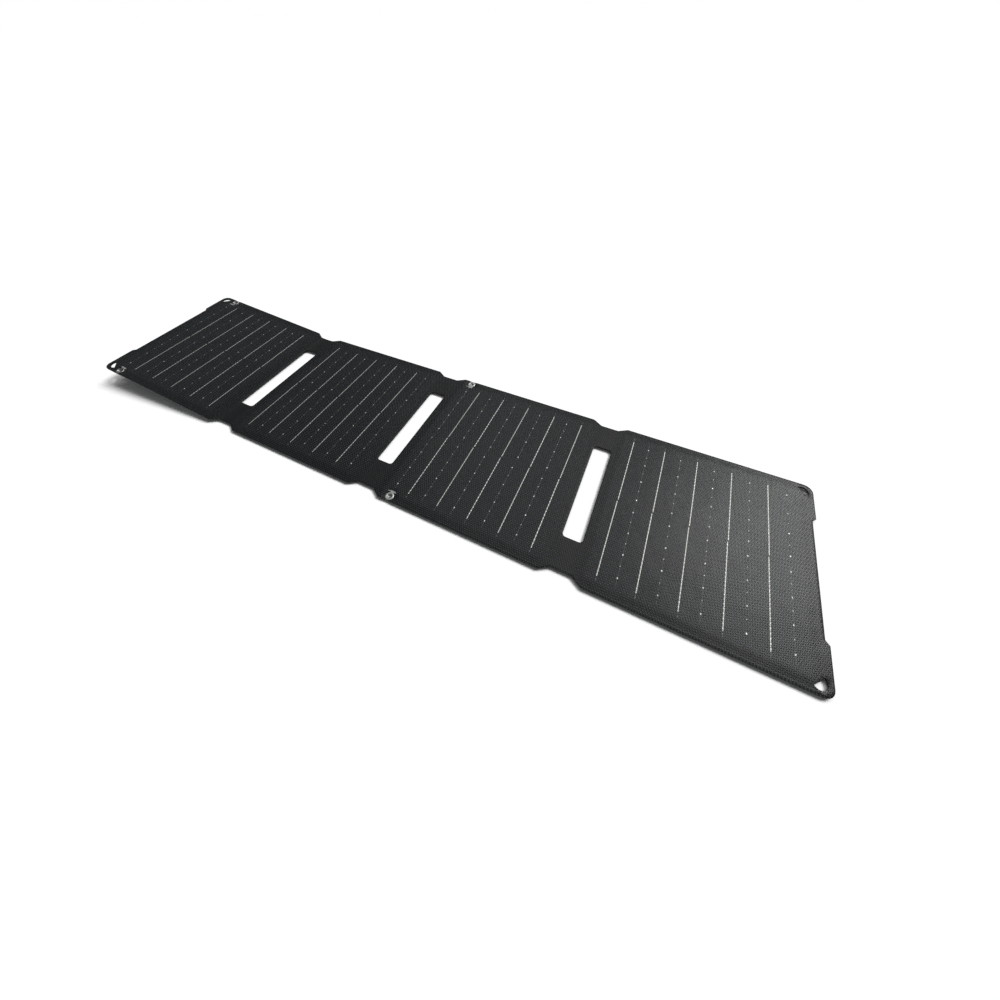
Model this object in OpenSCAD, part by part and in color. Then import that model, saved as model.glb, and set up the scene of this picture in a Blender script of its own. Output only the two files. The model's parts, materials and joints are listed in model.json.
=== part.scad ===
// Folding solar blanket: four cell panels joined by three fabric folds.
// The panels roll up from the far end, and the first panel closes over them as a cover.

/* [Blanket] */
// Width across the folds
width = 207; // [200:1:230]
// Distance from one fold to the next
pitch = 231; // [228:0.5:240]
// First fold to the recessed end of the cover panel
cover_reach = 224; // [222:0.5:235]
// Last fold to the recessed end of the last panel
last_reach = 218.4; // [216:0.2:235]
// How far the corner tabs stand out past the recessed end
tab_out = 3.4; // [2:0.2:6]
// Length of a corner tab along the end
tab_len = 45; // [35:1:55]
// Radius of the outer corners
corner_r = 9; // [5:0.5:14]

/* [Folds] */
// Half width of the hand slot at each fold
slot_half_w = 10.5; // [8:0.5:12]
// Half length of the hand slot
slot_half_l = 62.3; // [50:0.1:70]
// Corner radius of the hand slot
slot_r = 3.6; // [2:0.2:6]
// Depth of the edge notch at each fold
notch_depth = 6.6; // [4:0.2:8]
// Length of the sloping side of the notch
notch_slope = 11; // [8:0.5:14]
// Radius of the notch corners
notch_r = 4; // [1:0.5:5]
// Offset of the cover's pivot from the middle of its slot
cover_pivot_shift = 1.5; // [0:0.1:3]

/* [Laminate] */
// Thickness of the backing fabric
fabric_t = 0.5; // [0.3:0.05:0.7]
// Thickness of the stiffening board
board_t = 0.8; // [0.6:0.1:1.2]
// Thickness of the sheet under the cells
rear_sheet_t = 0.15; // [0.1:0.05:0.3]
// Thickness of the clear sheet that holds the cells
front_sheet_t = 0.45; // [0.4:0.05:0.6]
// Thickness of the embossed front film
film_t = 0.3; // [0.2:0.05:0.5]
// Thickness of the film where it lies on the bare fabric
margin_film_t = 0.7; // [0.5:0.05:0.8]

/* [Cells] */
// Side of a full cell, which is cut in half across its lines
cell_side = 182; // [180:0.5:183]
// Gap between the two half cells
cell_gap = 1.5; // [1:0.1:3]
// Collector lines across a cell
lines = 10; // [10:1:10]
// Thickness of a cell
cell_t = 0.18; // [0.15:0.01:0.2]
// Width of a soldered ribbon
ribbon_w = 1.1; // [0.8:0.1:1.5]
// Thickness of a soldered ribbon
ribbon_t = 0.12; // [0.1:0.01:0.15]

/* [Press studs] */
// Diameter of a stud's flange
snap_d = 10.4; // [9:0.1:10.6]
// Height of a stud below the blanket
stud_h = 1.8; // [1.5:0.1:2]
// Diameter of a stud's head
stud_d = 4.5; // [4:0.1:4.6]
// Bore of a socket
socket_bore = 5; // [4.9:0.1:5.2]
// Distance of a stud's centre from the long edge
snap_inset = 5.6; // [5.5:0.1:6]
// Distance of a stud's centre from the second fold
stud_from_fold = 33.5; // [30:0.5:40]

/* [Output box] */
// Depth of the box along the blanket
box_l = 50; // [46:1:56]
// Width of the box across the blanket
box_w = 90; // [84:1:100]
// Height of the box below the cover panel
box_h = 15; // [14:0.5:18]
// First fold to the near face of the box
box_from_fold = 140; // [130:1:150]
// Wall thickness of the box
wall = 2; // [1.6:0.1:2.4]
// Corner radius of the box
box_r = 7; // [5:0.5:10]
// Height of the flange that is bonded to the fabric
base_t = 1.8; // [1.5:0.1:2.5]

/* [Hidden] */
$fn = 64;

// Heights above the back face of the blanket
board_top = fabric_t + board_t;
cell_z = board_top + rear_sheet_t;
clear_top = cell_z + front_sheet_t;
film_top = clear_top + film_t;
margin_top = fabric_t + margin_film_t;
ribbon_z = cell_z + cell_t;

// Panels are numbered 0 to 3 from the cover; folds are numbered 1 to 3
line_pitch = cell_side / lines;
fold_x = [0, 0, pitch, 2 * pitch];
first_line_x = [-39 - 9 * line_pitch, 33.6, pitch + 33.3, 2 * pitch + 31.7];
cell_x0 = [for (x = first_line_x) x - line_pitch / 2];
first_ribbon = [1, 0, 1, 0];

// Heights of the three pivots above the back face, so that the panels stack when rolled up
panel_gap = 0.5;
last_pivot_h = film_top + panel_gap / 2;
second_pivot_h = 1.5 * film_top + panel_gap;
second_fold_max = 177.5;
wedge = 180 - second_fold_max;
cover_gap = 0.7;
stack_at_cover = 2 * second_pivot_h + (pitch + cover_pivot_shift) * tan(wedge);
cover_pivot_h = (stack_at_cover * cos(wedge) + film_top + cover_gap) / (1 + cos(wedge));
pivot_h = [0, cover_pivot_h, second_pivot_h, last_pivot_h];
pivot_x = [0, -cover_pivot_shift, pitch, 2 * pitch];

// Half gap at each fold, which lets the panels bend back by the angle given
bend_back = [0, 25, 45, 45];
play = 0.2;
half_gap = [for (i = [0:3]) pivot_h[i] * tan(bend_back[i] / 2) + play];

// The cover panel rests on the near bottom edge of the output box, which tips it up
rest_arm = norm([box_from_fold - cover_pivot_shift, cover_pivot_h + box_h]);
rest_tilt = atan2(cover_pivot_h + box_h, box_from_fold - cover_pivot_shift)
            - asin((stud_h + cover_pivot_h) / rest_arm);

// Middle of the whole blanket along its length
end_x = 2 * pitch + last_reach + tab_out;
cover_end_x = -cover_pivot_shift
              - (cover_reach + tab_out - cover_pivot_shift) * cos(rest_tilt)
              - cover_pivot_h * sin(rest_tilt);
middle_x = (end_x + cover_end_x) / 2;

// A stud of the rolled third panel, and the place on the cover panel that meets it
stud_x = pitch + stud_from_fold;
snap_y = width / 2 - snap_inset;
rolled_stud = [pitch + stud_from_fold * cos(second_fold_max) + second_pivot_h * sin(second_fold_max),
               second_pivot_h + stud_from_fold * sin(second_fold_max)
               - second_pivot_h * cos(second_fold_max)];
from_cover_pivot = rolled_stud - [-cover_pivot_shift, cover_pivot_h];
socket_x = -cover_pivot_shift - from_cover_pivot.x * cos(wedge) + from_cover_pivot.y * sin(wedge);

snap_hole_d = 6.4;
barrel_d = 6.2;
hole_r = 6;
hole_inset = 10.4;

// Output box, measured below the back face of the cover panel
box_x1 = -box_from_fold;
box_x0 = box_x1 - box_l;
flange = 2.5;
seal_t = 0.5;
lid_top = -base_t - seal_t;
pcb_t = 1.6;
pcb_z = -4.5;
boss_x = [box_x0 + 7.5, box_x1 - 7.5];
boss_y = box_w / 2 - 7.5;
boss_d = 6;
screw_d = 2;
screw_head_d = 4;
screw_head_h = 1.6;
port_x = box_x0;
usb_a_y = -10;
usb_c_y = 11;
usb_a_size = [14, 13.2, 5.7];
usb_c_size = [7.4, 9, 3.3];
metal_t = 0.3;
cover_flap_y0 = -21;
cover_hinge_y = 21;
flap_t = 1.5;
flap_h = 9.6;
flap_z = -9;
recess = 1.2;
hinge_x = port_x - flap_t - 0.1;
edge_play = 0.3;

function unit(v) = v / norm(v);

// Points of an arc of radius r that rounds the corner b between a and c
function corner(a, b, c, r, steps = 10) =
    r == 0 ? [b] :
    let (u = unit(a - b), v = unit(c - b),
         half = acos(u * v) / 2,
         mid = b + unit(u + v) * r / sin(half),
         p = b + u * r / tan(half) - mid,
         q = b + v * r / tan(half) - mid,
         start = atan2(p.y, p.x),
         turn = (atan2(q.y, q.x) - start + 540) % 360 - 180)
    [for (i = [0:steps]) mid + r * [cos(start + turn * i / steps), sin(start + turn * i / steps)]];

// Closed outline from corners given as [x, y, radius]
function rounded(pts) =
    let (n = len(pts), xy = [for (p = pts) [p.x, p.y]])
    [for (i = [0:n - 1]) each corner(xy[(i + n - 1) % n], xy[i], xy[(i + 1) % n], pts[i][2])];

function reversed(list) = [for (i = [len(list) - 1:-1:0]) list[i]];

// The end of a panel at a fold; side is 1 for its far end and -1 for its near end
function fold_end(fold, side) =
    let (edge = pivot_x[fold] - side * half_gap[fold],
         out_x = fold_x[fold] - side * (slot_half_w + notch_slope),
         in_x = fold_x[fold] - side * slot_half_w,
         half = width / 2)
    [[out_x, -half, notch_r], [in_x, notch_depth - half, notch_r], [edge, notch_depth - half, 0],
     [edge, half - notch_depth, 0], [in_x, half - notch_depth, notch_r], [out_x, half, notch_r]];

// The free end of the blanket, with its two corner tabs
function free_end(x, side) =
    let (tip = x + side * tab_out, half = width / 2, soft = 1)
    [[tip, -half, corner_r], [tip, tab_len - tab_out - half, soft], [x, tab_len - half, soft],
     [x, half - tab_len, soft], [tip, half - tab_len + tab_out, soft], [tip, half, corner_r]];

function panel_outline(i) =
    let (near = i == 0 ? free_end(-cover_reach, -1) : fold_end(i, -1),
         far = i == 3 ? free_end(2 * pitch + last_reach, 1) : fold_end(i + 1, 1))
    rounded(concat(far, reversed(near)));

// Moves a panel from its own flat place to where it lies in the blanket
module place(i) {
    translate([-middle_x, 0, stud_h])
        if (i == 0)
            translate([pivot_x[1], 0, pivot_h[1]])
                rotate([0, rest_tilt, 0])
                    translate([-pivot_x[1], 0, -pivot_h[1]])
                        children();
        else
            children();
}

// Rectangle with true round corners, from lo to hi
module round_rect(lo, hi, r) {
    size = hi - lo;
    translate(lo + [r, 0]) square([size.x - 2 * r, size.y]);
    translate(lo + [0, r]) square([size.x, size.y - 2 * r]);
    for (x = [lo.x + r, hi.x - r])
        for (y = [lo.y + r, hi.y - r])
            translate([x, y]) circle(r);
}

module slots_2d() {
    for (x = [fold_x[1], fold_x[2], fold_x[3]])
        round_rect([x - slot_half_w, -slot_half_l], [x + slot_half_w, slot_half_l], slot_r);
}

// Half-round hanging hole whose flat side faces the middle of the panel
module hanging_hole(x, side_x, side_y) {
    translate([x, side_y * (width / 2 - hole_inset)])
        rotate(atan2(side_y, side_x))
            intersection() {
                circle(hole_r);
                translate([0, -hole_r]) square([hole_r, 2 * hole_r]);
            }
}

module hanging_holes_2d() {
    for (side = [-1, 1]) {
        hanging_hole(-cover_reach - tab_out + hole_inset, -1, side);
        hanging_hole(2 * pitch + last_reach + tab_out - hole_inset, 1, side);
    }
}

module snap_holes_2d() {
    for (x = [socket_x, stud_x])
        for (side = [-1, 1])
            translate([x, side * snap_y]) circle(d = snap_hole_d);
}

module skin_2d(i) {
    difference() {
        polygon(panel_outline(i));
        slots_2d();
        hanging_holes_2d();
        snap_holes_2d();
    }
}

// Area of the stiff part of a panel, grown by an edge
module field_2d(i, edge) {
    half_y = cell_side / 2 + cell_gap / 2 + edge;
    round_rect([cell_x0[i] - edge, -half_y], [cell_x0[i] + cell_side + edge, half_y], 1.5);
}

module layer(z0, z1) {
    translate([0, 0, z0]) linear_extrude(z1 - z0) children();
}

module back_fabric(i) {
    color("#202224") place(i) layer(0, fabric_t) difference() {
        skin_2d(i);
        if (i == 0) lead_slots_2d();
    }
}

board_edge = 0.8;

module stiff_board(i) {
    color("#c9c48a") place(i) layer(fabric_t, board_top) difference() {
        field_2d(i, board_edge);
        if (i == 0) lead_slots_2d();
    }
}

module rear_sheet(i) {
    color("#e8e8e4") place(i) layer(board_top, cell_z) difference() {
        field_2d(i, board_edge);
        if (i == 0) lead_slots_2d();
    }
}

// Two half cells with clipped outer corners
module cells_2d(i) {
    clip = 2;
    for (side = [-1, 1]) {
        near_y = side * cell_gap / 2;
        far_y = side * (cell_gap + cell_side) / 2;
        x0 = cell_x0[i];
        x1 = x0 + cell_side;
        polygon([[x0, near_y], [x1, near_y], [x1, far_y - side * clip], [x1 - clip, far_y],
                 [x0 + clip, far_y], [x0, far_y - side * clip]]);
    }
}

module cell_pair(i) {
    color("#10131a") place(i) layer(cell_z, ribbon_z) cells_2d(i);
}

// Soldered ribbons lie on every second line
module ribbons_2d(i) {
    reach = cell_side / 2 - 1;
    for (n = [first_ribbon[i]:2:lines - 1])
        for (side = [0, 1])
            mirror([0, side])
                translate([first_line_x[i] + n * line_pitch - ribbon_w / 2, cell_gap / 2 + 0.5])
                    square([ribbon_w, reach]);
}

module ribbons(i) {
    color("#c8c8c4") place(i) layer(ribbon_z, ribbon_z + ribbon_t) ribbons_2d(i);
}

module clear_sheet(i) {
    color("#8899aa") place(i) difference() {
        layer(cell_z, clear_top) field_2d(i, board_edge);
        layer(cell_z - 1, ribbon_z) cells_2d(i);
        layer(cell_z - 1, ribbon_z + ribbon_t) ribbons_2d(i);
    }
}

film_edge = 1;

module front_film(i) {
    color("#181b20") place(i) difference() {
        union() {
            layer(fabric_t, margin_top) skin_2d(i);
            layer(fabric_t, film_top) field_2d(i, film_edge);
        }
        layer(fabric_t - 1, clear_top) field_2d(i, board_edge);
        for (fold = [1:3]) link_pockets(fold);
    }
}

// Flat copper links lie between fabric and film, and join the panels across each fold
link_w = 5;
link_t = 0.2;
link_y = (slot_half_l + width / 2 - notch_depth) / 2;
link_x = [[-cell_x0[0] - cell_side - 1, cell_x0[1] - 1],
          [pitch - cell_x0[1] - cell_side - 1, cell_x0[2] - pitch - 1],
          [2 * pitch - cell_x0[2] - cell_side - 1, cell_x0[3] - 2 * pitch - 1]];

module link_2d(fold, side) {
    near = pivot_x[fold] + side * (half_gap[fold] + 0.4);
    far = fold_x[fold] + side * link_x[fold - 1][side > 0 ? 1 : 0];
    for (y = [-link_y, link_y])
        translate([min(near, far), y - link_w / 2])
            square([abs(far - near), link_w]);
}

module link_pockets(fold) {
    for (side = [-1, 1])
        layer(fabric_t - 1, fabric_t + link_t) link_2d(fold, side);
}

module link_ribbons(i) {
    color("#b87333") place(i) layer(fabric_t, fabric_t + link_t) {
        if (i > 0) link_2d(i, 1);
        if (i < 3) link_2d(i + 1, -1);
    }
}

// Press studs stand in pairs, one near each long edge
module at_snaps(i, x) {
    place(i)
        for (side = [-1, 1])
            translate([x, side * snap_y, 0])
                children();
}

// Front half of the cover's fastener: a flange with a blind bore
module snap_sockets() {
    floor_z = 0.4;
    rim = film_top - 0.1;
    color("silver") at_snaps(0, socket_x) rotate_extrude() polygon([
        [0, 0.1], [barrel_d / 2, 0.1], [barrel_d / 2, margin_top], [snap_d / 2 - 0.3, margin_top],
        [snap_d / 2, margin_top + 0.3], [snap_d / 2 - 0.8, rim - 0.1], [snap_d / 2 - 1.2, rim],
        [socket_bore / 2 + 0.3, rim], [socket_bore / 2, rim - 0.3], [socket_bore / 2, floor_z],
        [0, floor_z]]);
}

// Back half of the cover's fastener: a low domed cap
module snap_caps() {
    color("silver") at_snaps(0, socket_x) rotate_extrude() polygon([
        [0, 0], [snap_d / 2 - 0.4, 0], [snap_d / 2, -0.25], [snap_d / 2 - 0.6, -0.6],
        [3, -0.8], [0, -0.85]]);
}

module snap_studs() {
    flange_t = 0.5;
    color("silver") at_snaps(2, stud_x) rotate_extrude() polygon([
        [0, 0], [snap_d / 2 - 0.3, 0], [snap_d / 2, -0.2], [snap_d / 2 - 0.5, -flange_t],
        [stud_d / 2 - 0.3, -flange_t], [stud_d / 2 - 0.3, -0.8], [stud_d / 2, -1.1],
        [stud_d / 2, -1.4], [stud_d / 2 - 0.5, -stud_h], [0, -stud_h]]);
}

// Front half of the stud's fastener: an open eyelet
module snap_eyelets() {
    rim = margin_top + 0.8;
    well = 1.6;
    color("silver") at_snaps(2, stud_x) rotate_extrude() polygon([
        [0, 0.1], [barrel_d / 2, 0.1], [barrel_d / 2, margin_top], [snap_d / 2 - 0.3, margin_top],
        [snap_d / 2, margin_top + 0.3], [snap_d / 2 - 0.8, rim - 0.15], [snap_d / 2 - 1.4, rim],
        [well + 0.8, rim], [well, rim - 0.5], [well, 0.5], [0, 0.5]]);
}

// Plan of the output box, which hangs below the back face of the cover panel
module box_rect(grow, r) {
    round_rect([box_x0 - grow, -box_w / 2 - grow], [box_x1 + grow, box_w / 2 + grow], r);
}

module at_bosses() {
    for (x = boss_x)
        for (side = [-1, 1])
            translate([x, side * boss_y, 0])
                children();
}

tab_x = box_x1 - 12;
tab_y = 12;
tab_w = 6;

module lead_slots_2d() {
    for (side = [-1, 1])
        translate([tab_x - 1, side * tab_y - tab_w / 2 - 0.5])
            square([2, tab_w + 1]);
}

// The bosses take the screws in blind bores, a little longer than the screws
boss_end = pcb_z;
screw_end = -1;
bore_l = screw_end - boss_end + 0.2;

module box_base() {
    color("#2b2d30") place(0) difference() {
        union() {
            layer(-base_t, 0) box_rect(flange, box_r + flange);
            at_bosses() translate([0, 0, boss_end]) cylinder(d = boss_d, h = -boss_end - base_t + 0.1);
        }
        layer(-base_t - 1, 1) lead_slots_2d();
        at_bosses() translate([0, 0, boss_end - 1]) cylinder(d = screw_d + 0.1, h = bore_l + 1);
    }
}

module box_seal() {
    color("#3a3c3e") place(0) layer(lid_top, -base_t) difference() {
        box_rect(-0.3, box_r - 0.3);
        box_rect(0.2 - wall, box_r - wall);
    }
}

// The lid carries the port windows in its end wall and the screw wells in its face
module box_lid() {
    face_in = -box_h + wall;
    window_z = [flap_z - flap_h / 2 + 1, flap_z + flap_h / 2 - 1];
    color("#26282b") place(0) difference() {
        union() {
            difference() {
                layer(-box_h + 1, lid_top) box_rect(0, box_r);
                layer(face_in, lid_top + 1) box_rect(-wall, box_r - wall);
            }
            layer(-box_h, -box_h + 1) box_rect(-1, box_r - 1);
            at_bosses() translate([0, 0, -box_h + 1])
                cylinder(d = boss_d + 1, h = box_h - 1 + pcb_z - pcb_t);
        }
        at_bosses() translate([0, 0, -box_h - 1]) cylinder(d = screw_d + 0.4, h = box_h);
        at_bosses() translate([0, 0, -box_h - 1])
            cylinder(d = screw_head_d + 0.4, h = screw_head_h + 1.4);
        translate([port_x - 1, cover_flap_y0 + 3, window_z[0]])
            cube([recess + 1, cover_hinge_y - cover_flap_y0 - 9, window_z[1] - window_z[0]]);
        port_hole(usb_a_y, usb_a_size);
        port_hole(usb_c_y, usb_c_size);
        translate([port_x - 1, cover_hinge_y + 3.5, flap_z]) rotate([0, 90, 0])
            cylinder(d = 3.1, h = wall + 3);
        translate([box_x1 - 25, 0, -box_h - 1]) cylinder(d = 3.1, h = wall + 2);
    }
}

// Ports hang from the underside of the circuit board
function port_z(size) = pcb_z - pcb_t - size.z / 2;

module port_hole(y, size) {
    slack = 0.3;
    translate([port_x - 1, y - size.y / 2 - slack, port_z(size) - size.z / 2 - slack])
        cube([wall + 2, size.y + 2 * slack, size.z + 2 * slack]);
}

module circuit_board() {
    color("#1f5a3a") place(0) difference() {
        layer(pcb_z - pcb_t, pcb_z)
            round_rect([box_x0 + wall + 0.8, -box_w / 2 + wall + 0.8],
                       [box_x1 - wall - 0.8, box_w / 2 - wall - 0.8], box_r - wall - 0.8);
        at_bosses() translate([0, 0, pcb_z - pcb_t - 1]) cylinder(d = screw_d + 0.4, h = pcb_t + 2);
        layer(pcb_z - pcb_t - 1, pcb_z + 1) lead_slots_2d();
    }
}

// Coil, converter chip and two capacitors
module circuit_parts() {
    under = pcb_z - pcb_t;
    color("#55585c") place(0) {
        translate([box_x0 + 26, -16, under - 3.6]) cube([10, 10, 3.6]);
        translate([box_x0 + 26, 4, under - 1.4]) cube([6, 7, 1.4]);
        for (y = [20, 28])
            translate([box_x0 + 28, y, under - 3.8]) cylinder(d = 5, h = 3.8);
    }
}

// A metal port shell with its tongue; the mouth faces away from the folds
module port(y, size, tongue) {
    x = port_x + recess + 0.1;
    z = port_z(size);
    place(0) {
        difference() {
            translate([x, y - size.y / 2, z - size.z / 2]) cube(size);
            translate([x - 1, y - size.y / 2 + metal_t, z - size.z / 2 + metal_t])
                cube([size.x - 0.5, size.y - 2 * metal_t, size.z - 2 * metal_t]);
        }
        translate([x + 1, y - tongue.y / 2, z - tongue.z / 2])
            cube([size.x - 2, tongue.y, tongue.z]);
    }
}

module usb_a_port() {
    color("silver") port(usb_a_y, usb_a_size, [0, 11, 1.8]);
}

module usb_c_port() {
    color("silver") port(usb_c_y, usb_c_size, [0, 6.7, 0.7]);
}

module light_pipe() {
    color("#9fd0ff") place(0) translate([box_x1 - 25, 0, -box_h - 0.1])
        cylinder(d = 3, h = wall + 1.5);
}

module box_screws() {
    color("#8a8c90") place(0) at_bosses() {
        head_z = -box_h + screw_head_h + 0.4;
        difference() {
            translate([0, 0, head_z - screw_head_h]) cylinder(d = screw_head_d, h = screw_head_h);
            for (a = [0, 90])
                rotate(a) translate([-1.2, -0.3, head_z - screw_head_h - 1]) cube([2.4, 0.6, 1.8]);
        }
        translate([0, 0, head_z - 0.1]) cylinder(d = screw_d, h = screw_end - head_z + 0.1);
    }
}

// Flat leads from the cells, through the fabric and the base, to the circuit board
module lead_tabs() {
    color("#b87333") place(0)
        for (side = [-1, 1])
            translate([tab_x - 0.2, side * tab_y - tab_w / 2, pcb_z - pcb_t + 0.2])
                cube([0.4, tab_w, cell_z - 0.05 - (pcb_z - pcb_t + 0.2)]);
}

// The rubber cover's fixed end is a button pressed into the end wall
module cover_anchor() {
    y = cover_hinge_y + 3.5;
    color("#333538") place(0) {
        translate([port_x - flap_t, y - 2.6, flap_z - flap_h / 2 + 1])
            cube([flap_t, 5.4, flap_h - 2]);
        translate([port_x, y, flap_z]) rotate([0, 90, 0]) cylinder(d = 3, h = wall + 1);
    }
}

// The swinging part closes over both ports and seats in the recess around them
module port_cover() {
    y1 = cover_hinge_y - 0.4;
    color("#333538") place(0) {
        translate([hinge_x, cover_flap_y0, flap_z - flap_h / 2])
            cube([flap_t, y1 - cover_flap_y0, flap_h]);
        translate([hinge_x + flap_t, cover_flap_y0 + 3 + edge_play, flap_z - flap_h / 2 + 1 + edge_play])
            cube([recess, cover_hinge_y - cover_flap_y0 - 9 - 2 * edge_play,
                  flap_h - 2 - 2 * edge_play]);
        translate([hinge_x - 1.4, cover_flap_y0 + 0.5, flap_z - 2])
            cube([1.5, 2, 4]);
    }
}

back_fabric(0);  // cover_back_fabric
back_fabric(1);  // second_back_fabric
back_fabric(2);  // third_back_fabric
back_fabric(3);  // last_back_fabric
stiff_board(0);  // cover_board
stiff_board(1);  // second_board
stiff_board(2);  // third_board
stiff_board(3);  // last_board
rear_sheet(0);  // cover_rear_sheet
rear_sheet(1);  // second_rear_sheet
rear_sheet(2);  // third_rear_sheet
rear_sheet(3);  // last_rear_sheet
cell_pair(0);  // cover_cells
cell_pair(1);  // second_cells
cell_pair(2);  // third_cells
cell_pair(3);  // last_cells
ribbons(0);  // cover_ribbons
ribbons(1);  // second_ribbons
ribbons(2);  // third_ribbons
ribbons(3);  // last_ribbons
clear_sheet(0);  // cover_clear_sheet
clear_sheet(1);  // second_clear_sheet
clear_sheet(2);  // third_clear_sheet
clear_sheet(3);  // last_clear_sheet
front_film(0);  // cover_front_film
front_film(1);  // second_front_film
front_film(2);  // third_front_film
front_film(3);  // last_front_film
link_ribbons(0);  // cover_link_ribbons
link_ribbons(1);  // second_link_ribbons
link_ribbons(2);  // third_link_ribbons
link_ribbons(3);  // last_link_ribbons
snap_sockets();
snap_caps();
snap_studs();
snap_eyelets();
box_base();
box_lid();
box_seal();
circuit_board();
circuit_parts();
usb_a_port();
usb_c_port();
light_pipe();
box_screws();
lead_tabs();
cover_anchor();
port_cover();
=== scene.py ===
"""Looks of the folding solar blanket: embossed film, woven backing, ribbons, press studs and output box."""
import json
import math

import bpy
import numpy as np
from mathutils import Matrix, Vector
from mathutils.geometry import delaunay_2d_cdt

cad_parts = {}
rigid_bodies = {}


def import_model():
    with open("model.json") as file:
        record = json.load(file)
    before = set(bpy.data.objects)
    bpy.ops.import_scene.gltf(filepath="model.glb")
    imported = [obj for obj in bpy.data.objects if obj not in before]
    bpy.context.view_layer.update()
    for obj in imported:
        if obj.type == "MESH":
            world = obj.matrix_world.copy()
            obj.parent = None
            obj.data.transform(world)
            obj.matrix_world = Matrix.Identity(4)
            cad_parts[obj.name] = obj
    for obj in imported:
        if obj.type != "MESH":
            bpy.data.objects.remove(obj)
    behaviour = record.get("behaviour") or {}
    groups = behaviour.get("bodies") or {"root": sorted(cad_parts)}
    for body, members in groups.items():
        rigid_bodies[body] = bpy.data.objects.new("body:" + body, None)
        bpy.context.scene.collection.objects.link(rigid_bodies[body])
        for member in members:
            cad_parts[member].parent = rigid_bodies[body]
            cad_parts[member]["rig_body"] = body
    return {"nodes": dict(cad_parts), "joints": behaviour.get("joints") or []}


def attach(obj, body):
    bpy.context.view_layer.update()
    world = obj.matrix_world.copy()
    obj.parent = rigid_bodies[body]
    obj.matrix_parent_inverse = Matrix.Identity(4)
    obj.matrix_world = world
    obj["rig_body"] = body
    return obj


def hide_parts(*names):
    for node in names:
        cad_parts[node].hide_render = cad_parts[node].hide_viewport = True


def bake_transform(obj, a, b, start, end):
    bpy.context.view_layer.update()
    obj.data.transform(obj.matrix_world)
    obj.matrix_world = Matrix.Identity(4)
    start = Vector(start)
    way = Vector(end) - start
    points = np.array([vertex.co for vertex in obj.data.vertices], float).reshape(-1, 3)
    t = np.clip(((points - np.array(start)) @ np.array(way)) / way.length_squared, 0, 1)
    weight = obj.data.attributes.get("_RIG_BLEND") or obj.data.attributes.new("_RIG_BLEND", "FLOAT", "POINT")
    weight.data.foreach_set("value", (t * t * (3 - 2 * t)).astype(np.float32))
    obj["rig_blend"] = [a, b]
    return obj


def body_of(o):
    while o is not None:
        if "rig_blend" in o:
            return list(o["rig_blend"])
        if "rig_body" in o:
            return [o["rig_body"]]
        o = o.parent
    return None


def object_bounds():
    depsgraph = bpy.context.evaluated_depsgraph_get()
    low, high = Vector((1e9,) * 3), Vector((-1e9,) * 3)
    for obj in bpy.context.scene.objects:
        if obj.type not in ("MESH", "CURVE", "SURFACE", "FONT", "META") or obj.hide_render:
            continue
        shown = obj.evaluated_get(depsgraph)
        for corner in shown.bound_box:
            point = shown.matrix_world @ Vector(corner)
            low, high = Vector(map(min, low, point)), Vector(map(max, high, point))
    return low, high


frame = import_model()
cad_lo, cad_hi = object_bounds()

MM = 0.001
PANELS = ("cover", "second", "third", "last")
JOINTS = {joint["name"]: joint for joint in frame["joints"]}
FOLDS = [Vector(JOINTS[name]["pos_m"]) for name in ("cover_fold", "second_fold", "last_fold")]
PIVOT = FOLDS[0]

# The cover panel leans on its output box; the hinge of the port cover stands square to it
lean = JOINTS["port_cover_swing"]["axis"]
REST_TILT = math.atan2(-lean[0], -lean[2])

# Sizes that the folds and the edges share with the CAD model
COVER_PIVOT_SHIFT = 1.5 * MM
SLOT_HALF_W = 10.5 * MM
SLOT_HALF_L = 62.3 * MM
SLOT_R = 3.6 * MM
NOTCH_DEPTH = 6.6 * MM
NOTCH_SLOPE = 11 * MM
NOTCH_R = 4 * MM
TAB_OUT = 3.4 * MM
TAB_LEN = 45 * MM
TAB_SOFT = 1 * MM
CORNER_R = 9 * MM
HOLE_R = 6 * MM
HOLE_INSET = 10.4 * MM
SNAP_HOLE_R = 3.2 * MM
CELL_GAP = 1.5 * MM
FIELD_EDGE = 1.0 * MM
LINES = 10
FIRST_RIBBON = (1, 0, 1, 0)

# Looks of the laminate
SEAM_FROM_FOLD = 21.9 * MM
BLEND_HALF = (12 * MM, 5 * MM, 3 * MM)
FINE_REACH = 16
ROWS = 44
SLOPE_W = 9 * MM
MARGIN_PILLOW = 0.7 * MM
SNAP_FLAT = (5.4 * MM, 8.5 * MM)
EDGE_ROUND = 0.22 * MM
PRESS_MARK = 0.12 * MM
PRESS_W = 2.25 * MM
RIM_START = 0.3 * MM
RIBBON_W = 0.95 * MM
RIBBON_END = 87 * MM
TRACE_GAP_END = 89 * MM
TRACE_END = 92.4 * MM
LINK_W = 5 * MM
LINK_T = 0.2 * MM
LINK_END = 1 * MM

# Rows of the emboss and the step along a row, in millimetres of the cloth attribute
EMBOSS_ROW = 2.11
EMBOSS_STEP = 2.55

# The emboss is weaker at a fold, and comes back to full depth away from it
FOLD_DEPTH = 0.35
FOLD_FLAT = 3 * MM
FOLD_FADE = 16 * MM

# Camera, as the object is seen
CAMERA_PLACE = (0.2355, -0.2278, 0.3581)
CAMERA_LOOK = (-0.2892, 0.5906, -0.7534)
CAMERA_ROLL = -1.54
CAMERA_LENS = 13.1
CAMERA_SHIFT = (0.0023, -0.0788)


# ---------------------------------------------------------------- frame helpers

def turned(points, angle):
    """Points turned about the first fold's pivot, by one angle or by one for each point."""
    x = points[:, 0] - PIVOT.x
    z = points[:, 2] - PIVOT.z
    c = np.cos(angle)
    s = np.sin(angle)
    return np.stack([PIVOT.x + x * c + z * s, points[:, 1], PIVOT.z - x * s + z * c], axis=1)


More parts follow.
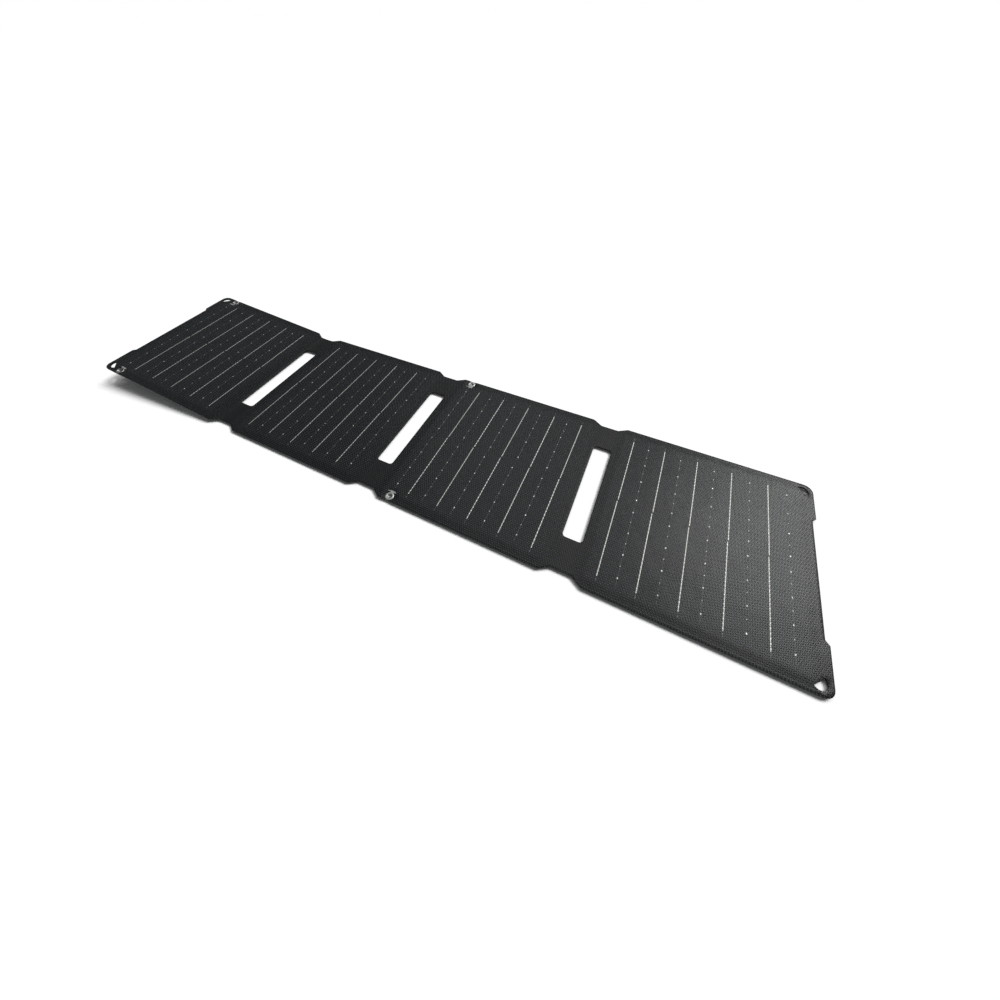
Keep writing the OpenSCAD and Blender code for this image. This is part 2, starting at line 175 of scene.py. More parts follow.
def flat_box(node):
    """Lowest and highest corner of a CAD node, with the cover panel laid back flat with the others."""
    obj = frame["nodes"][node]
    points = np.array([v.co for v in obj.data.vertices])
    if body_of(obj) == ["cover_panel"]:
        points = turned(points, -REST_TILT)
    return Vector(points.min(axis=0)), Vector(points.max(axis=0))


def smoothstep(t):
    t = np.clip(t, 0, 1)
    return t * t * (3 - 2 * t)


back_lo, back_hi = flat_box("second_back_fabric")
BACK_Z = back_lo.z
FABRIC_Z = back_hi.z
FILM_TOP = flat_box("second_front_film")[1].z
MARGIN_TOP = FABRIC_Z + 0.7 * MM
HALF_W = back_hi.y
FOLD_X = [PIVOT.x + COVER_PIVOT_SHIFT, FOLDS[1].x, FOLDS[2].x]
COVER_TIP = flat_box("cover_back_fabric")[0].x
LAST_TIP = flat_box("last_back_fabric")[1].x
CELLS = [flat_box(f"{name}_cells") for name in PANELS]
LINE_PITCH = (CELLS[0][1].x - CELLS[0][0].x) / LINES


# ---------------------------------------------------------------- outlines in plan

def corner(a, b, c, radius, steps=6):
    """Points of the arc that rounds corner b between a and c."""
    a, b, c = Vector(a), Vector(b), Vector(c)
    u = (a - b).normalized()
    v = (c - b).normalized()
    half = u.angle(v) / 2
    middle = b + (u + v).normalized() * radius / math.sin(half)
    p = b + u * radius / math.tan(half) - middle
    q = b + v * radius / math.tan(half) - middle
    start = math.atan2(p.y, p.x)
    turn = (math.atan2(q.y, q.x) - start + 3 * math.pi) % (2 * math.pi) - math.pi
    angles = [start + turn * i / steps for i in range(steps + 1)]
    return [middle + radius * Vector((math.cos(t), math.sin(t))) for t in angles]


def rounded(corners):
    """Closed outline from corners given as (x, y, radius)."""
    out = []
    for i, (x, y, radius) in enumerate(corners):
        before = corners[i - 1][:2]
        after = corners[(i + 1) % len(corners)][:2]
        out += corner(before, (x, y), after, radius)
    return out


def divided(loop, step=4 * MM):
    """The same loop with its long straight stretches cut up, most finely where it bends at a fold."""
    out = []
    for i, p in enumerate(loop):
        q = loop[(i + 1) % len(loop)]
        from_fold = min(abs((p.x + q.x) / 2 - x) for x in FOLD_X)
        n = max(1, round((q - p).length / (MM if from_fold < FINE_REACH * MM else step)))
        out += [p.lerp(q, k / n) for k in range(n)]
    return out


def blanket_outline():
    half = HALF_W
    cover_end = COVER_TIP + TAB_OUT
    last_end = LAST_TIP - TAB_OUT
    upper = [(cover_end, half - TAB_LEN, TAB_SOFT), (COVER_TIP, half - TAB_LEN + TAB_OUT, TAB_SOFT),
             (COVER_TIP, half, CORNER_R)]
    for x in FOLD_X:
        out_x = SLOT_HALF_W + NOTCH_SLOPE
        upper += [(x - out_x, half, NOTCH_R), (x - SLOT_HALF_W, half - NOTCH_DEPTH, NOTCH_R),
                  (x + SLOT_HALF_W, half - NOTCH_DEPTH, NOTCH_R), (x + out_x, half, NOTCH_R)]
    upper += [(LAST_TIP, half, CORNER_R), (LAST_TIP, half - TAB_LEN + TAB_OUT, TAB_SOFT),
              (last_end, half - TAB_LEN, TAB_SOFT)]
    lower = [(x, -y, radius) for x, y, radius in reversed(upper)]
    return divided(rounded(upper + lower))


def rectangle(x0, y0, x1, y1, radius):
    return rounded([(x0, y0, radius), (x1, y0, radius), (x1, y1, radius), (x0, y1, radius)])


def hanging_hole(tip_x, side_x, side_y):
    """Half-round hole whose flat side faces the middle of the panel."""
    middle = Vector((tip_x - side_x * HOLE_INSET, side_y * (HALF_W - HOLE_INSET)))
    facing = math.atan2(side_y, side_x)
    count = 18
    angles = [facing + math.pi * (i / count - 0.5) for i in range(count + 1)]
    arc = [middle + HOLE_R * Vector((math.cos(t), math.sin(t))) for t in angles]
    return divided(arc, 2 * MM)


def circle(x, y, radius, count=24):
    angles = [2 * math.pi * i / count for i in range(count)]
    return [Vector((x + radius * math.cos(t), y + radius * math.sin(t))) for t in angles]


def snap_places(node):
    """Centres of the two fasteners of a node, in the flat blanket."""
    lo, hi = flat_box(node)
    radius = (hi.x - lo.x) / 2
    return [(lo.x + radius, side * (hi.y - radius)) for side in (-1, 1)]


def openings():
    holes = [divided(rectangle(x - SLOT_HALF_W, -SLOT_HALF_L, x + SLOT_HALF_W, SLOT_HALF_L, SLOT_R))
             for x in FOLD_X]
    holes += [hanging_hole(tip, side_x, side_y)
              for tip, side_x in ((COVER_TIP, -1), (LAST_TIP, 1)) for side_y in (-1, 1)]
    holes += [circle(x, y, SNAP_HOLE_R)
              for node in ("snap_sockets", "snap_studs") for x, y in snap_places(node)]
    return holes


def field_distance(x, y):
    """Distance from the raised cell fields, negative inside one."""
    nearest = np.full(len(x), np.inf)
    for lo, hi in CELLS:
        dx = np.maximum(lo.x - x, x - hi.x) - FIELD_EDGE
        dy = np.abs(y) - hi.y - FIELD_EDGE
        outside = np.hypot(np.maximum(dx, 0), np.maximum(dy, 0))
        nearest = np.minimum(nearest, outside + np.minimum(np.maximum(dx, dy), 0))
    return nearest


def inside(loop, x, y):
    """Whether each point is inside a closed loop."""
    result = np.zeros(len(x), bool)
    ax, ay = np.array(loop).T
    bx, by = np.roll(ax, -1), np.roll(ay, -1)
    for x0, y0, x1, y1 in zip(ax, ay, bx, by):
        if y0 == y1:
            continue
        crosses = (y0 > y) != (y1 > y)
        result ^= crosses & (x < (x1 - x0) * (y - y0) / (y1 - y0) + x0)
    return result


def blanket_plan():
    """Vertices and triangles of the whole flat blanket, with its seams as edges."""
    outline, holes = blanket_outline(), openings()
    points, edges = [], []

    def add(loop, closed=True):
        start = len(points)
        points.extend(loop)
        count = len(loop)
        edges.extend((start + i, start + (i + 1) % count) for i in range(count if closed else count - 1))

    add(outline)
    for hole in holes:
        add(hole)
    for lo, hi in CELLS:
        for share in (0, 0.25, 0.5, 0.75, 1):
            d = FIELD_EDGE + share * SLOPE_W
            add(divided(rectangle(lo.x - d, lo.y - d, hi.x + d, hi.y + d, 0.5 * MM + d)))
    rows = np.linspace(-HALF_W - MM, HALF_W + MM, ROWS)
    for x in FOLD_X:
        add([Vector((x + SEAM_FROM_FOLD, y)) for y in rows], closed=False)

    columns = list(np.arange(COVER_TIP, LAST_TIP, 5 * MM))
    near_fold = np.arange(-FINE_REACH + 1, FINE_REACH - 0.9, 1) * MM
    for x in FOLD_X:
        columns += list(x + near_fold)
    grid_x, grid_y = [a.ravel() for a in np.meshgrid(columns, rows[1:-1])]
    keep = inside(outline, grid_x, grid_y)
    for x in FOLD_X:
        keep &= np.abs(grid_x - x - SEAM_FROM_FOLD) > 1.0 * MM
    points += [Vector((x, y)) for x, y in zip(grid_x[keep], grid_y[keep])]

    verts, _, faces, *_ = delaunay_2d_cdt(points, edges, [], 0, 1e-7)
    verts = np.array(verts)
    faces = np.array(faces)
    middle = verts[faces].mean(axis=1)
    solid = inside(outline, *middle.T)
    for hole in holes:
        solid &= ~inside(hole, *middle.T)
    faces = faces[solid]
    a, b, c = (verts[faces[:, i]] for i in range(3))
    turn = (b[:, 0] - a[:, 0]) * (c[:, 1] - a[:, 1]) - (b[:, 1] - a[:, 1]) * (c[:, 0] - a[:, 0])
    faces[turn < 0] = faces[turn < 0][:, ::-1]
    return verts, faces[np.abs(turn) > 1e-12]


# ---------------------------------------------------------------- laminate skins

def film_height(x, y):
    """Top of the film: it slopes from the cells to the margin, and is pressed flat round each fastener."""
    rise = smoothstep(1 - field_distance(x, y) / SLOPE_W)
    near, far = SNAP_FLAT
    pressed = np.ones(len(x))
    for node in ("snap_sockets", "snap_studs"):
        for snap_x, snap_y in snap_places(node):
            pressed *= smoothstep((np.hypot(x - snap_x, y - snap_y) - near) / (far - near))
    return MARGIN_TOP + pressed * (MARGIN_PILLOW + (FILM_TOP - MARGIN_TOP - MARGIN_PILLOW) * rise)


def back_height(x, y):
    rise = smoothstep(field_distance(x, y) / PRESS_W)
    return BACK_Z + PRESS_MARK * rise


def border(verts, faces):
    """Directed border edges and each border vertex's inward step; edges that lie on a seam give no step."""
    directed = np.concatenate([faces[:, [0, 1]], faces[:, [1, 2]], faces[:, [2, 0]]])
    known = set(map(tuple, directed))
    edges = np.array([e for e in map(tuple, directed) if (e[1], e[0]) not in known])
    seams = np.array(FOLD_X) + SEAM_FROM_FOLD
    on_seam = np.array([np.abs(seams[:, None] - verts[list(e), 0]).max(axis=1).min() < 1e-6 for e in edges])
    step = np.zeros((len(verts), 2))
    for (i, j), seam in zip(edges, on_seam):
        if seam:
            continue
        d = verts[j] - verts[i]
        inward = np.array([-d[1], d[0]]) / np.hypot(*d)
        for k in (i, j):
            step[k] += inward
    length = np.hypot(*step.T)
    used = length > 0.1
    # a vertex between two edges moves by the mitre; one at a seam has a single edge
    scale = np.where(length > 1.1, 2 / np.maximum(length, 0.1), 1) / np.maximum(length, 0.1)
    step[used] *= np.minimum(scale[used], 1.6)[:, None]
    return edges, step


def skin(name, verts, faces, low, high, round_low, round_high, panel):
    """A closed thin sheet between two heights, with softly rounded cut edges."""
    used, flat = np.unique(faces, return_inverse=True)
    faces = flat.reshape(-1, 3)
    plan = verts[used]
    edges, step = border(plan, faces)
    z0, z1 = low(*plan.T), high(*plan.T)
    rings = [(z1, 1.0 if round_high else 0)]
    if round_high:
        rings += [(z1 - 0.3 * EDGE_ROUND, 0.3), (z1 - EDGE_ROUND, 0)]
    if round_low:
        rings += [(z0 + EDGE_ROUND, 0), (z0 + 0.3 * EDGE_ROUND, 0.3)]
    rings += [(z0, 1.0 if round_low else 0)]

    border_ids = np.unique(edges)
    place = {v: i for i, v in enumerate(border_ids)}
    layers, starts = [], []
    count = 0
    for k, (z, share) in enumerate(rings):
        whole = k in (0, len(rings) - 1)
        ids = np.arange(len(plan)) if whole else border_ids
        xy = plan[ids] + step[ids] * share * EDGE_ROUND
        layers.append(np.column_stack([xy, z[ids]]))
        starts.append(count)
        count += len(ids)
    co = np.concatenate(layers)

    def at(k, v):
        return starts[k] + (v if k in (0, len(rings) - 1) else place[v])

    polygons = [tuple(int(i) for i in f) for f in faces]
    polygons += [tuple(int(starts[-1] + i) for i in f[::-1]) for f in faces]
    for i, j in edges:
        for k in range(len(rings) - 1):
            polygons.append((at(k, j), at(k, i), at(k + 1, i), at(k + 1, j)))
    mesh = bpy.data.meshes.new(name)
    cloth = co.copy()
    mesh.from_pydata(bent(co, panel).tolist(), [], polygons)
    area = 0.5 * np.abs(np.cross(plan[faces[:, 1]] - plan[faces[:, 0]],
                                 plan[faces[:, 2]] - plan[faces[:, 0]])).sum()
    obj = finished(name, mesh)
    note_cloth(mesh, cloth)
    return obj, area


def bent(co, panel):
    """Flat points of a panel's piece, leaned to their place at rest."""
    if panel == 0:
        t = (co[:, 0] - PIVOT.x + BLEND_HALF[0]) / (2 * BLEND_HALF[0])
        return turned(co, REST_TILT * (1 - smoothstep(t)))
    return co


def note_cloth(mesh, co):
    """Keeps each point's place in the flat blanket, and how deep the emboss is there."""
    place = mesh.attributes.new("cloth", "FLOAT_VECTOR", "POINT")
    place.data.foreach_set("vector", (co * 1000).astype(np.float32).ravel())
    from_fold = np.min([np.abs(co[:, 0] - x) for x in FOLD_X], axis=0)
    depth = FOLD_DEPTH + (1 - FOLD_DEPTH) * smoothstep((from_fold - FOLD_FLAT) / FOLD_FADE)
    on_field = smoothstep(1 - field_distance(co[:, 0], co[:, 1]) / PRESS_W)
    mesh.attributes.new("emboss", "FLOAT", "POINT").data.foreach_set("value", depth.astype(np.float32))
    mesh.attributes.new("field", "FLOAT", "POINT").data.foreach_set("value", on_field.astype(np.float32))


def finished(name, mesh, smooth_angle=35):
    obj = bpy.data.objects.new(name, mesh)
    bpy.context.scene.collection.objects.link(obj)
    mesh.validate()
    mesh.shade_smooth()
    mesh.set_sharp_from_angle(angle=math.radians(smooth_angle))
    return obj


# ---------------------------------------------------------------- materials

class Shader:
    """A Principled material and short calls for its nodes."""

    def __init__(self, name, roughness=0.5, metallic=0.0, specular=0.5, coat=0.0, sheen=0.0):
        self.material = bpy.data.materials.new(name)
        self.material.use_nodes = True
        self.tree = self.material.node_tree
        self.surface = self.tree.nodes["Principled BSDF"]
        self.set("Roughness", roughness)
        self.set("Metallic", metallic)
        self.set("Specular IOR Level", specular)
        self.set("Coat Weight", coat)
        self.set("Sheen Weight", sheen)

    def set(self, socket, value):
        self.surface.inputs[socket].default_value = value

    def node(self, kind, **settings):
        made = self.tree.nodes.new(kind)
        for key, value in settings.items():
            setattr(made, key, value)
        return made

    def link(self, out, into):
        self.tree.links.new(out, into)

    def attribute(self, name, output="Vector"):
        return self.node("ShaderNodeAttribute", attribute_name=name).outputs[output]

    def place(self):
        return self.node("ShaderNodeTexCoord").outputs["Object"]

    def math(self, operation, a, b=None, c=None, clamp=False):
        made = self.node("ShaderNodeMath", operation=operation, use_clamp=clamp)
        for socket, value in zip(made.inputs, (a, b, c)):
            if value is None:
                continue
            if isinstance(value, (int, float)):
                socket.default_value = value
            else:
                self.link(value, socket)
        return made.outputs[0]

    def dot(self, vector, other):
        made = self.node("ShaderNodeVectorMath", operation="DOT_PRODUCT")
        self.link(vector, made.inputs[0])
        made.inputs[1].default_value = other
        return made.outputs["Value"]

    def noise(self, vector, scale, detail=3.0, rough=0.5):
        made = self.node("ShaderNodeTexNoise")
        self.link(vector, made.inputs["Vector"])
        made.inputs["Scale"].default_value = scale
        made.inputs["Detail"].default_value = detail
        made.inputs["Roughness"].default_value = rough
        return made.outputs["Fac"]

    def ramp(self, value, low, high, out_low, out_high):
        made = self.node("ShaderNodeMapRange", interpolation_type="SMOOTHSTEP")
        self.link(value, made.inputs["Value"])
        sockets = ("From Min", "From Max", "To Min", "To Max")
        for socket, number in zip(sockets, (low, high, out_low, out_high)):
            made.inputs[socket].default_value = number
        return made.outputs["Result"]

    def mix(self, factor, a, b):
        made = self.node("ShaderNodeMix", data_type="RGBA")
        if isinstance(factor, float):
            made.inputs["Factor"].default_value = factor
        else:
            self.link(factor, made.inputs["Factor"])
        for index, colour in ((6, a), (7, b)):
            if isinstance(colour, tuple):
                made.inputs[index].default_value = (*colour, 1)
            else:
                self.link(colour, made.inputs[index])
        return made.outputs[2]

    def colour(self, out):
        self.link(out, self.surface.inputs["Base Color"])

    def rough(self, out):
        self.link(out, self.surface.inputs["Roughness"])

    def bump(self, height, distance, strength=1.0):
        made = self.node("ShaderNodeBump")
        made.inputs["Distance"].default_value = distance
        made.inputs["Strength"].default_value = strength
        made.inputs["Filter Width"].default_value = 0.1
        self.link(height, made.inputs["Height"])
        previous = self.surface.inputs["Normal"].links
        if previous:
            self.link(previous[0].from_socket, made.inputs["Normal"])
        self.link(made.outputs["Normal"], self.surface.inputs["Normal"])


def emboss(shader, cloth):
    """Rows of small bumps, each row half a step from the next, from 0 between them to 1 on top."""
    row = 2 * math.pi / (2 * EMBOSS_ROW)
    step = 2 * math.pi / EMBOSS_STEP
    waves = [shader.math("COSINE", shader.dot(cloth, wave))
             for wave in ((step, row, 0), (-step, row, 0), (0, 2 * row, 0))]
    total = shader.math("ADD", shader.math("ADD", waves[0], waves[1]), waves[2])
    return shader.math("MULTIPLY_ADD", total, 1 / 4.5, 1.5 / 4.5)


def film_material():
    shader = Shader("embossed_film", roughness=0.34, specular=0.20)
    cloth = shader.attribute("cloth")
    depth = shader.attribute("emboss", "Fac")
    field = shader.attribute("field", "Fac")
    bumps = emboss(shader, cloth)
    cloudy = shader.noise(cloth, 0.028, 4.0)
    fine = shader.noise(cloth, 1.1, 2.0)
    pillow = shader.ramp(bumps, 0.16, 0.78, 0.0, 1.0)
    tops = shader.math("MULTIPLY", pillow, depth)
    # Painted highlight and painted shade: the base colour is lighter on the emboss tops and darker in the
    # valleys between them, over the cells and on the margin alike.
    deep = shader.mix(cloudy, (0.0030, 0.0036, 0.0043), (0.0048, 0.0054, 0.0058))
    raised = shader.mix(cloudy, (0.022, 0.026, 0.029), (0.036, 0.040, 0.042))
    margin = shader.mix(tops, (0.0034, 0.0038, 0.0042), (0.022, 0.024, 0.026))
    over_cells = shader.mix(tops, deep, raised)
    shader.colour(shader.mix(field, margin, over_cells))
    worn = shader.math("MULTIPLY_ADD", cloudy, 0.06, 0.54)
    shader.rough(shader.math("MULTIPLY_ADD", depth, -0.24, worn))
    shader.bump(shader.noise(cloth, 0.035, 2.0), 0.6 * MM, 0.6)
    shader.bump(tops, 0.52 * MM)
    shader.bump(fine, 0.02 * MM, 0.5)
    return shader.material


def strip_material(name, colour, strength):
    """Tinned copper seen through the embossed film."""
    shader = Shader(name, roughness=0.42, metallic=0.35, specular=0.6)
    cloth = shader.attribute("cloth")
    bumps = emboss(shader, cloth)
    # Painted shade: the strip is darker in the emboss valleys and lighter on its tops, broken up by noise.
    strip_valley_shade = tuple(strength * c for c in colour)
    shader.colour(shader.mix(shader.math("MULTIPLY", bumps, shader.noise(cloth, 0.6)), strip_valley_shade, colour))
    shader.rough(shader.ramp(shader.noise(cloth, 2.0), 0.3, 0.7, 0.34, 0.5))
    shader.bump(bumps, 0.25 * MM)
    return shader.material


def weave_height(shader, cloth, pitch):
    """Plain weave of twisted yarns, pitch in millimetres."""
    k = math.pi / pitch
    warp = shader.math("SINE", shader.dot(cloth, (k, 0, 0)))
    weft = shader.math("SINE", shader.dot(cloth, (0, k, 0)))
    over = shader.math("MULTIPLY", warp, weft)
    twist = shader.math("SINE", shader.dot(cloth, (9 * k / 2, 9 * k / 2, 0)))
    crown = shader.math("ABSOLUTE", over)
    return shader.math("MULTIPLY_ADD", twist, 0.08, crown), over


def backing_material():
    shader = Shader("oxford_backing", roughness=0.78, specular=0.3, sheen=0.25)
    cloth = shader.attribute("cloth")
    crown, over = weave_height(shader, cloth, 0.62)
    cloudy = shader.noise(cloth, 0.03, 4.0)
    # Painted highlight on the yarn crowns and painted shade between them; the cloudy mix below is random
    # tone.
    yarn_crown_shading = shader.mix(crown, (0.006, 0.0065, 0.007), (0.022, 0.0235, 0.025))
    faded = shader.mix(cloudy, (0.012, 0.013, 0.014), (0.026, 0.027, 0.029))
    shader.colour(shader.mix(0.35, yarn_crown_shading, faded))
    shader.rough(shader.ramp(over, -1.0, 1.0, 0.68, 0.85))
    shader.bump(shader.noise(cloth, 0.05, 2.0), 0.4 * MM, 0.5)
    shader.bump(crown, 0.16 * MM)
    return shader.material


def metal_material(name, colour, roughness, grain=1800.0):
    """Plated or drawn metal with fine scratches and a little tarnish."""
    shader = Shader(name, roughness=roughness, metallic=1.0)
    place = shader.place()
    tarnish = shader.noise(place, 320.0, 4.0)
    shader.colour(shader.mix(tarnish, tuple(0.72 * c for c in colour), colour))
    shader.rough(shader.math("MULTIPLY_ADD", shader.noise(place, grain), 0.18, roughness - 0.06))
    shader.bump(shader.noise(place, grain, 2.0), 0.012 * MM)
    return shader.material


def plastic_material(name, colour, roughness, grain, depth, specular=0.45):
    """Moulded plastic or rubber with an even spark-eroded grain."""
    shader = Shader(name, roughness=roughness, specular=specular)
    place = shader.place()
    shade = shader.noise(place, 60.0, 3.0)
    shader.colour(shader.mix(shade, tuple(0.8 * c for c in colour), tuple(1.2 * c for c in colour)))
    shader.rough(shader.math("MULTIPLY_ADD", shader.noise(place, grain), 0.16, roughness - 0.08))
    shader.bump(shader.noise(place, grain, 3.0), depth)
    return shader.material


def cell_material():
    """Blue-black silicon with fine fingers across it."""
    shader = Shader("silicon_cell", roughness=0.22, specular=0.6)
    place = shader.place()
    fingers = shader.math("SINE", shader.dot(place, (2 * math.pi / (1.3 * MM), 0, 0)))
    line = shader.ramp(fingers, 0.93, 1.0, 0.0, 1.0)
    tone = shader.mix(shader.noise(place, 90.0), (0.004, 0.007, 0.016), (0.008, 0.012, 0.026))
    shader.colour(shader.mix(line, tone, (0.2, 0.2, 0.2)))
    shader.bump(line, 0.01 * MM)
    return shader.material


def board_material():
    """Woven glass-fibre board."""
    shader = Shader("glass_board", roughness=0.5)
    place = shader.place()
    millimetres = shader.node("ShaderNodeVectorMath", operation="SCALE")
    millimetres.inputs["Scale"].default_value = 1000
    shader.link(place, millimetres.inputs[0])
    crown, _ = weave_height(shader, millimetres.outputs[0], 0.9)
    shader.colour(shader.mix(crown, (0.36, 0.34, 0.16), (0.56, 0.53, 0.30)))
    shader.bump(crown, 0.03 * MM)
    return shader.material


def circuit_material():
    """Green solder mask with copper tracks under it."""
    shader = Shader("solder_mask", roughness=0.32, coat=0.3)
    place = shader.place()
    cells = shader.node("ShaderNodeTexVoronoi", distance="CHEBYCHEV", feature="F1")
    shader.link(place, cells.inputs["Vector"])
    cells.inputs["Scale"].default_value = 180.0
    track = shader.ramp(cells.outputs["Distance"], 0.32, 0.40, 0.0, 1.0)
    shader.colour(shader.mix(track, (0.01, 0.09, 0.04), (0.02, 0.16, 0.08)))
    shader.bump(track, 0.03 * MM)
    return shader.material


def clear_material():
    shader = Shader("clear_sheet", roughness=0.18, specular=0.5)
    place = shader.place()
    shader.colour(shader.mix(shader.noise(place, 70.0), (0.50, 0.52, 0.53), (0.62, 0.63, 0.63)))
    shader.bump(shader.noise(place, 900.0), 0.01 * MM)
    shader.set("Alpha", 0.35)
    return shader.material


def light_material():
    shader = Shader("light_pipe", roughness=0.25)
    place = shader.place()
    shader.colour(shader.mix(shader.noise(place, 500.0), (0.45, 0.62, 0.72), (0.62, 0.78, 0.86)))
    shader.rough(shader.math("MULTIPLY_ADD", shader.noise(place, 900.0), 0.12, 0.2))
    return shader.material


# ---------------------------------------------------------------- round and strip pieces

def lathe(name, places, profile, base, material, panel, count=48):
    """Round pieces turned from one profile of (radius, height) pairs, heights measured from base."""
    co, polygons = [], []
    for x, y in places:
        start = len(co)
        for radius, height in profile:
            for i in range(count):
                t = 2 * math.pi * i / count
                co.append((x + radius * math.cos(t), y + radius * math.sin(t), base + height))
        for k in range(len(profile) - 1):
            for i in range(count):
                j = (i + 1) % count
                a, b = start + k * count, start + (k + 1) * count
                polygons.append((a + i, a + j, b + j, b + i))
        first = tuple(start + i for i in range(count))
        last = tuple(start + (len(profile) - 1) * count + i for i in range(count))
        polygons.append(first[::-1])
        polygons.append(last)
    co = np.array(co)
    if panel == 0:
        co = turned(co, REST_TILT)
    mesh = bpy.data.meshes.new(name)
    mesh.from_pydata(co.tolist(), [], polygons)
    obj = finished(name, mesh, 50)
    mesh.materials.append(material)
    return obj


def rolled_rim(inner, outer, top, steps=6):
    """Profile of a flange with a rolled rim: up the outside, over the crown and down into the bore."""
    points = [(outer - 0.25 * MM, 0), (outer, 0.15 * MM)]
    middle, reach, rise = (inner + outer) / 2, (outer - inner) / 2, top - RIM_START
    for i in range(2 * steps + 1):
        t = math.pi * i / (2 * steps)
        bulge = math.sin(t) ** 0.7 if 0 < i < 2 * steps else 0.0
        points.append((middle + reach * math.cos(t), RIM_START + rise * bulge))
    return points


def strips(name, panel, boxes, material, lift):
    """Low crowned strips or pads on the raised film, each given as x, y0, y1 and width."""
    co, polygons = [], []
    for x, y0, y1, width in boxes:
        count = max(2, round(abs(y1 - y0) / (6 * MM)) + 1)
        start = len(co)
        for y in np.linspace(y0, y1, count):
            for across, height in ((-0.5, -0.06), (-0.25, 0.6), (0, 1.0), (0.25, 0.6), (0.5, -0.06)):
                co.append((x + across * width, y, FILM_TOP + height * lift))
            co.append((x, y, FILM_TOP - 0.08 * MM))
        for k in range(count - 1):
            a, b = start + 6 * k, start + 6 * (k + 1)
            for i in range(6):
                j = (i + 1) % 6
                polygons.append((a + i, a + j, b + j, b + i))
        polygons.append(tuple(start + i for i in reversed(range(6))))
        polygons.append(tuple(start + 6 * (count - 1) + i for i in range(6)))
    co = np.array(co)
    mesh = bpy.data.meshes.new(name)
    placed = turned(co, REST_TILT) if panel == 0 else co
    mesh.from_pydata(placed.tolist(), [], polygons)
    note_cloth(mesh, co)
    obj = finished(name, mesh, 60)
    mesh.materials.append(material)
    return obj


# ---------------------------------------------------------------- the object

def across_fold(piece, i):
    """The piece turns from one panel to the next at fold i."""
    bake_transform(piece, f"{PANELS[i]}_panel", f"{PANELS[i + 1]}_panel",
             start=(FOLDS[i].x - BLEND_HALF[i], 0, FOLDS[i].z),
             end=(FOLDS[i].x + BLEND_HALF[i], 0, FOLDS[i].z))


def make_laminate():
    film, backing = film_material(), backing_material()
    verts, faces = blanket_plan()
    middle_x = verts[faces][:, :, 0].mean(axis=1)
    seams = [COVER_TIP - 1] + [x + SEAM_FROM_FOLD for x in FOLD_X] + [LAST_TIP + 1]
    for i, name in enumerate(PANELS):
        own = faces[(middle_x > seams[i]) & (middle_x <= seams[i + 1])]
        front, front_area = skin(f"{name}_film", verts, own, lambda x, y: np.full(len(x), FABRIC_Z),
                                 film_height, False, True, i)
        back, back_area = skin(f"{name}_backing", verts, own, back_height,
                               lambda x, y: np.full(len(x), FABRIC_Z), True, False, i)
        front.data.materials.append(film)
        back.data.materials.append(backing)
        for piece in (front, back):
            if i < 3:
                across_fold(piece, i)
            else:
                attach(piece, "last_panel")
        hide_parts(f"{name}_front_film")
        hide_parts(f"{name}_back_fabric")


def make_ribbons():
    """Soldered ribbons on every second line; the lines between show their pads and a thin trace."""
    bright = strip_material("tinned_ribbon", (0.60, 0.60, 0.57), 0.45)
    faint = strip_material("printed_line", (0.085, 0.09, 0.09), 0.4)
    pad_y = (8.0, 20.0, 33.0, 45.0, 57.0, 69.0, 81.0)
    strong = (8.0, 33.0, 57.0, 81.0)
    kink = 0.45 * MM
    for i, name in enumerate(PANELS):
        lo = CELLS[i][0]
        ribbons, pads, traces = [], [], []
        for n in range(LINES):
            x = lo.x + (n + 0.5) * LINE_PITCH
            for side in (-1, 1):
                at = x + side * kink / 2
                if n % 2 == FIRST_RIBBON[i]:
                    ribbons.append((at, side * 0.6 * CELL_GAP, side * RIBBON_END, RIBBON_W))
                    traces.append((at, side * TRACE_GAP_END, side * TRACE_END, 0.6 * MM))
                else:
                    for y in pad_y:
                        long = 1.5 if y in strong else 0.9
                        wide = (1.25 if y in strong else 0.8) * MM
                        pads.append((at, side * (y - long / 2) * MM, side * (y + long / 2) * MM, wide))
                    traces.append((at, side * 2 * MM, side * TRACE_GAP_END, 0.3 * MM))
        made = [strips(f"{name}_ribbon_strips", i, ribbons, bright, 0.09 * MM),
                strips(f"{name}_solder_pads", i, pads, bright, 0.10 * MM),
                strips(f"{name}_line_traces", i, traces, faint, 0.05 * MM)]
        for piece in made:
            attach(piece, f"{name}_panel")
        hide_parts(f"{name}_ribbons")


def make_links():
    """Flat copper links between fabric and film, which bend across each fold beside the hand slot."""
    copper = metal_material("copper_link", (0.85, 0.48, 0.30), 0.32)
    stands_for = (("cover_link_ribbons", "second_link_ribbons"),
                  ("third_link_ribbons",), ("last_link_ribbons",))
    middle_y = (SLOT_HALF_L + HALF_W - NOTCH_DEPTH) / 2
    for i, nodes in enumerate(stands_for):
        x0, x1 = CELLS[i][1].x + LINK_END, CELLS[i + 1][0].x - LINK_END
        co, polygons = [], []
        for y in (-middle_y, middle_y):
            start = len(co)
            stations = np.linspace(x0, x1, round((x1 - x0) / MM) + 1)
            for x in stations:
                for across, z in ((-0.5, 0), (0.5, 0), (0.5, 1), (-0.5, 1)):
                    co.append((x, y + across * LINK_W, FABRIC_Z + z * LINK_T))
            for k in range(len(stations) - 1):
                a, b = start + 4 * k, start + 4 * (k + 1)
                polygons += [(a + j, b + j, b + (j + 1) % 4, a + (j + 1) % 4) for j in range(4)]
            polygons.append(tuple(start + j for j in range(4)))
            polygons.append(tuple(start + 4 * (len(stations) - 1) + j for j in reversed(range(4))))
        mesh = bpy.data.meshes.new(f"fold_{i + 1}_links")
        mesh.from_pydata(bent(np.array(co), i).tolist(), [], polygons)
        links = finished(mesh.name, mesh)
        mesh.materials.append(copper)
        across_fold(links, i)
        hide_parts(*nodes)
    return copper


